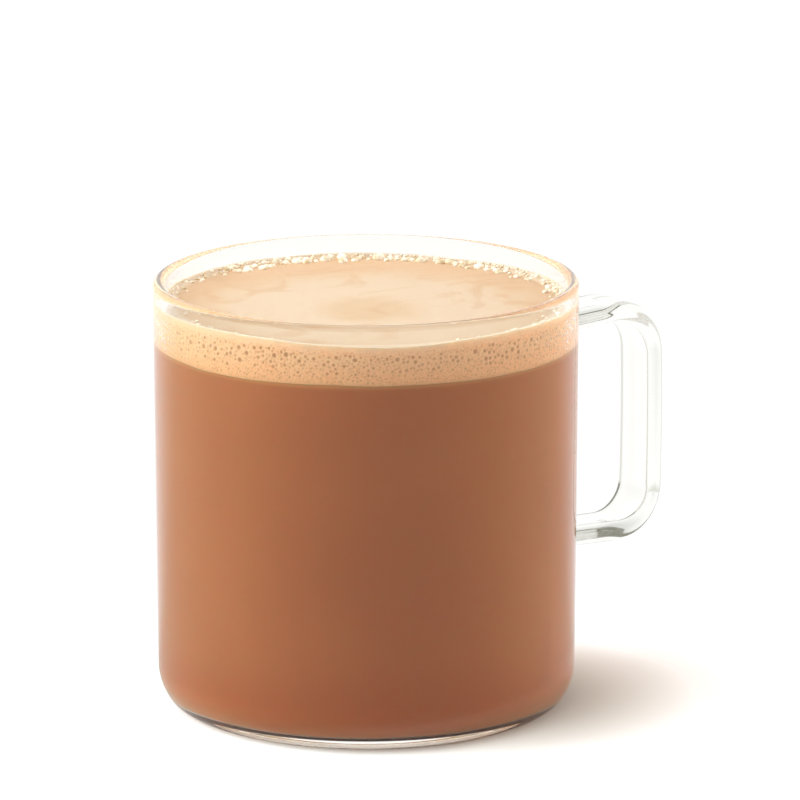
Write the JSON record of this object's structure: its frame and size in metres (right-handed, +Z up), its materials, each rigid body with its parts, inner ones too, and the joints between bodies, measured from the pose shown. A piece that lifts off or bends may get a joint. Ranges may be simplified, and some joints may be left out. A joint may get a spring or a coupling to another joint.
{
  "type": "caffe mocha in a glass mug",
  "caption": "Clear straight-sided glass mug with a strap handle, filled with milky chocolate coffee under a layer of tan milk foam.",
  "frame": {"origin": "centre of the base, on the surface that the mug stands on, on the mug's axis", "axes": "+Z up along the mug's axis, +X from the axis towards the handle, XZ is the mirror plane"},
  "size_m": [0.1184, 0.088, 0.0895],
  "materials": {
    "clear_glass": "fire-polished, clear",
    "milky_chocolate_coffee": "opaque liquid",
    "milk_foam": "soft, full of small bubbles"
  },
  "bodies": {
    "root": {"glass_mug": "clear_glass", "mocha": "milky_chocolate_coffee", "foam": "milk_foam"}
  },
  "joints": []
}
